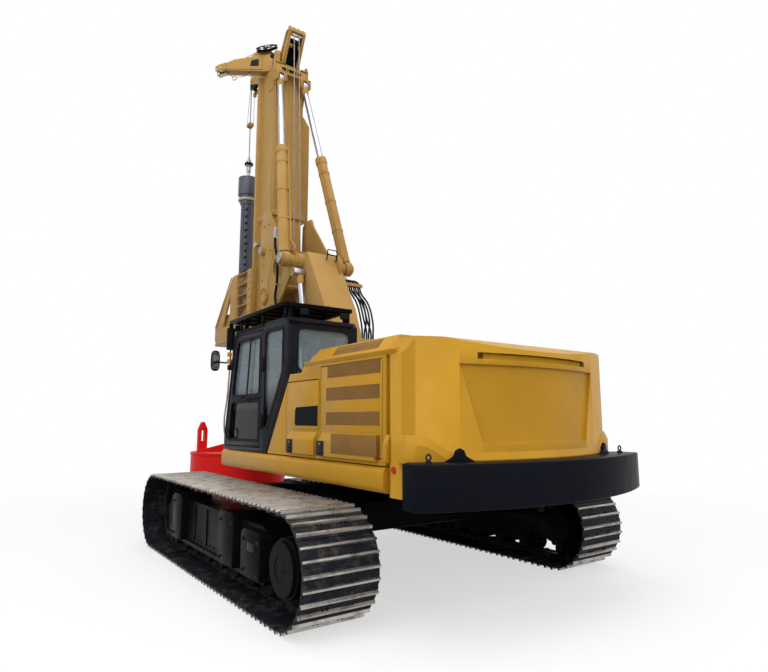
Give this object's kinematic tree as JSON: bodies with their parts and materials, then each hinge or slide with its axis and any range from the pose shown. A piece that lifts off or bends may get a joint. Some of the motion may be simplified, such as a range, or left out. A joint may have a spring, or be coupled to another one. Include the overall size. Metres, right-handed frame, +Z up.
{
  "type": "rotary piling rig",
  "caption": "Crawler rotary piling rig with slewing house and cab, support arm, raking mast, rotary drive, kelly bar and drilling bucket",
  "frame": {"origin": "on the ground under the middle of the whole rig's box", "axes": "+X forward towards the drilling tool, +Y to the left, +Z up"},
  "size_m": [9.066, 4.5, 9.38],
  "materials": {
    "body_yellow": "glossy golden yellow machine paint",
    "mast_yellow": "satin tan yellow paint",
    "frame_black": "semi-gloss black paint",
    "ballast_black": "satin blue-black paint",
    "track_steel": "worn dark track steel with bright grousers and dry mud",
    "cab_grey": "charcoal grey paint",
    "cab_glass": "lightly tinted clear glass",
    "rod_chrome": "hard chrome",
    "kelly_grey": "slate grey paint",
    "tool_red": "glossy red paint",
    "sheave_black": "black paint",
    "hose_rubber": "black rubber",
    "rope_steel": "greased wire rope",
    "seat_cloth": "dark woven cloth"
  },
  "bodies": {
    "undercarriage": {"carbody": "frame_black", "left_track_frame": "frame_black", "right_track_frame": "frame_black", "left_track": "track_steel", "right_track": "track_steel"},
    "left_sprocket_wheel": {"left_sprocket": "frame_black"},
    "right_sprocket_wheel": {"right_sprocket": "frame_black"},
    "left_idler_wheel": {"left_idler": "frame_black"},
    "right_idler_wheel": {"right_idler": "frame_black"},
    "house": {"house_frame": "frame_black", "left_sill": "body_yellow", "right_sill": "body_yellow", "rear_housing": "body_yellow", "counterweight": "body_yellow", "rear_ballast": "ballast_black", "tank_housing": "body_yellow", "engine_block": "frame_black", "cab_shell": "cab_grey", "windshield": "cab_glass", "rear_glass": "cab_glass", "quarter_glass": "cab_glass", "right_glass": "cab_glass", "roof_guard": "frame_black", "side_mirror": "frame_black", "operator_seat": "seat_cloth"},
    "cab_door_leaf": {"cab_door": "cab_grey", "door_glass": "cab_glass"},
    "side_door_leaf": {"side_door": "body_yellow"},
    "louvre_door_leaf": {"louvre_door": "body_yellow"},
    "right_door_leaf": {"right_door": "body_yellow"},
    "hood": {"engine_hood": "body_yellow"},
    "arm": {"support_arm": "mast_yellow", "hose_bundle": "hose_rubber"},
    "link": {"tie_link": "mast_yellow"},
    "cradle": {"mast_cradle": "mast_yellow"},
    "mast": {"mast_column": "mast_yellow", "mast_head": "mast_yellow", "mast_side_box": "mast_yellow", "aux_jib": "mast_yellow"},
    "main_winch": {"main_winch_drum": "sheave_black"},
    "aux_winch": {"aux_winch_drum": "sheave_black"},
    "head_sheave": {"main_sheave": "sheave_black"},
    "back_sheave": {"rear_sheave": "sheave_black"},
    "tip_sheave": {"jib_sheave": "sheave_black"},
    "carriage": {"rotary_carriage": "mast_yellow", "rotary_drive": "mast_yellow"},
    "sleeve": {"drive_sleeve": "sheave_black"},
    "swivel": {"kelly_swivel": "sheave_black", "main_rope": "rope_steel"},
    "kelly": {"kelly_bar": "kelly_grey", "drilling_bucket": "tool_red"},
    "gate": {"bucket_gate": "tool_red"},
    "left_lift_tube": {"left_lift_barrel": "mast_yellow"},
    "left_lift_stem": {"left_lift_rod": "rod_chrome"},
    "left_rake_tube": {"left_rake_barrel": "mast_yellow"},
    "left_rake_stem": {"left_rake_rod": "rod_chrome"},
    "right_lift_tube": {"right_lift_barrel": "mast_yellow"},
    "right_lift_stem": {"right_lift_rod": "rod_chrome"},
    "right_rake_tube": {"right_rake_barrel": "mast_yellow"},
    "right_rake_stem": {"right_rake_rod": "rod_chrome"}
  },
  "joints": [
    {"name": "slew", "type": "hinge", "parent": "undercarriage", "child": "house", "pos_m": [-0.883, 0, 1.125], "axis": [0, 0, 1], "continuous": true},
    {"name": "left_sprocket_spin", "type": "hinge", "parent": "undercarriage", "child": "left_sprocket_wheel", "pos_m": [-2.983, 1.86, 0.525], "axis": [0, 1, 0], "continuous": true},
    {"name": "left_idler_spin", "type": "hinge", "parent": "undercarriage", "child": "left_idler_wheel", "pos_m": [1.217, 1.86, 0.525], "axis": [0, 1, 0], "continuous": true},
    {"name": "right_sprocket_spin", "type": "hinge", "parent": "undercarriage", "child": "right_sprocket_wheel", "pos_m": [-2.983, -1.86, 0.525], "axis": [0, 1, 0], "continuous": true},
    {"name": "right_idler_spin", "type": "hinge", "parent": "undercarriage", "child": "right_idler_wheel", "pos_m": [1.217, -1.86, 0.525], "axis": [0, 1, 0], "continuous": true},
    {"name": "arm_swing", "type": "hinge", "parent": "house", "child": "arm", "pos_m": [-0.783, 0, 1.9], "axis": [0, 1, 0], "range_deg": [-8, 8]},
    {"name": "link_swing", "type": "hinge", "parent": "house", "child": "link", "pos_m": [-0.233, 0, 1.55], "axis": [0, 1, 0], "range_deg": [-8, 8]},
    {"name": "cradle_level", "type": "hinge", "parent": "arm", "child": "cradle", "pos_m": [0.447, 0, 4.42], "axis": [0, 1, 0], "range_deg": [-8, 8]},
    {"name": "mast_rake", "type": "hinge", "parent": "cradle", "child": "mast", "pos_m": [1.617, 0, 4.85], "axis": [0, 1, 0], "range_deg": [-15, 5]},
    {"name": "left_lift_swing", "type": "hinge", "parent": "house", "child": "left_lift_tube", "pos_m": [-0.183, 0.335, 1.6], "axis": [0, 1, 0], "range_deg": [-7.6, 7.6]},
    {"name": "left_lift_extend", "type": "slide", "parent": "left_lift_tube", "child": "left_lift_stem", "axis": [0.1997, 0, 0.9798], "range_m": [-0.1, 0.1]},
    {"name": "left_rake_swing", "type": "hinge", "parent": "cradle", "child": "left_rake_tube", "pos_m": [0.447, 0.59, 4.42], "axis": [0, 0.996, 0.0889], "range_deg": [-12.6, 4.3]},
    {"name": "left_rake_extend", "type": "slide", "parent": "left_rake_tube", "child": "left_rake_stem", "axis": [0.2694, -0.0856, 0.9592], "range_m": [-0.29, 0.1]},
    {"name": "right_lift_swing", "type": "hinge", "parent": "house", "child": "right_lift_tube", "pos_m": [-0.183, -0.335, 1.6], "axis": [0, 1, 0], "range_deg": [-7.6, 7.6]},
    {"name": "right_lift_extend", "type": "slide", "parent": "right_lift_tube", "child": "right_lift_stem", "axis": [0.1997, 0, 0.9798], "range_m": [-0.1, 0.1]},
    {"name": "right_rake_swing", "type": "hinge", "parent": "cradle", "child": "right_rake_tube", "pos_m": [0.447, -0.59, 4.42], "axis": [0, 0.996, -0.0889], "range_deg": [-12.6, 4.3]},
    {"name": "right_rake_extend", "type": "slide", "parent": "right_rake_tube", "child": "right_rake_stem", "axis": [0.2694, 0.0856, 0.9592], "range_m": [-0.29, 0.1]},
    {"name": "carriage_travel", "type": "slide", "parent": "mast", "child": "carriage", "axis": [0, 0, 1], "range_m": [-0.6, 1.2]},
    {"name": "sleeve_spin", "type": "hinge", "parent": "carriage", "child": "sleeve", "pos_m": [3.537, 0, 3.35], "axis": [0, 0, 1], "continuous": true},
    {"name": "kelly_hoist", "type": "slide", "parent": "mast", "child": "swivel", "axis": [0, 0, 1], "range_m": [-1.5, 0.6]},
    {"name": "kelly_spin", "type": "hinge", "parent": "swivel", "child": "kelly", "pos_m": [3.537, 0, 7], "axis": [0, 0, 1], "continuous": true},
    {"name": "gate_open", "type": "hinge", "parent": "kelly", "child": "gate", "pos_m": [4.503, 0, 0.302], "axis": [0, -1, 0], "range_deg": [0, 60]},
    {"name": "cab_door_open", "type": "hinge", "parent": "house", "child": "cab_door_leaf", "pos_m": [-0.753, 1.44, 1.475], "axis": [0, 0, 1], "range_deg": [0, 95]},
    {"name": "side_door_open", "type": "hinge", "parent": "house", "child": "side_door_leaf", "pos_m": [-2.283, 1.44, 1.48], "axis": [0, 0, 1], "range_deg": [0, 80]},
    {"name": "louvre_door_open", "type": "hinge", "parent": "house", "child": "louvre_door_leaf", "pos_m": [-3.473, 1.44, 1.48], "axis": [0, 0, 1], "range_deg": [0, 80]},
    {"name": "right_door_open", "type": "hinge", "parent": "house", "child": "right_door_leaf", "pos_m": [-3.473, -1.44, 1.48], "axis": [0, 0, -1], "range_deg": [0, 80]},
    {"name": "hood_open", "type": "hinge", "parent": "house", "child": "hood", "pos_m": [-2.363, 0, 2.64], "axis": [0, 1, 0], "range_deg": [0, 55]},
    {"name": "main_winch_spin", "type": "hinge", "parent": "mast", "child": "main_winch", "pos_m": [1.267, 0, 2.4], "axis": [0, 1, 0], "continuous": true},
    {"name": "aux_winch_spin", "type": "hinge", "parent": "mast", "child": "aux_winch", "pos_m": [1.267, 0, 1.65], "axis": [0, 1, 0], "continuous": true},
    {"name": "main_sheave_spin", "type": "hinge", "parent": "mast", "child": "head_sheave", "pos_m": [3.3567, 0, 9.18], "axis": [0, 1, 0], "continuous": true},
    {"name": "rear_sheave_spin", "type": "hinge", "parent": "mast", "child": "back_sheave", "pos_m": [1.477, 0, 8.96], "axis": [0, 1, 0], "continuous": true},
    {"name": "jib_sheave_spin", "type": "hinge", "parent": "mast", "child": "tip_sheave", "pos_m": [2.72461, 0.95761, 8.76], "axis": [-0.7071, 0.7071, 0], "continuous": true}
  ],
  "couplings": [
    {"joint": "link_swing", "follows": "arm_swing", "ratio": 1},
    {"joint": "cradle_level", "follows": "arm_swing", "ratio": -1},
    {"joint": "left_lift_swing", "follows": "arm_swing", "ratio": 0.935},
    {"joint": "left_lift_extend", "follows": "arm_swing", "m_per_rad": -0.647},
    {"joint": "left_rake_swing", "follows": "mast_rake", "ratio": 0.832},
    {"joint": "left_rake_extend", "follows": "mast_rake", "m_per_rad": 1.0695},
    {"joint": "right_lift_swing", "follows": "arm_swing", "ratio": 0.935},
    {"joint": "right_lift_extend", "follows": "arm_swing", "m_per_rad": -0.647},
    {"joint": "right_rake_swing", "follows": "mast_rake", "ratio": 0.832},
    {"joint": "right_rake_extend", "follows": "mast_rake", "m_per_rad": 1.0695},
    {"joint": "sleeve_spin", "follows": "kelly_spin", "ratio": 1}
  ]
}
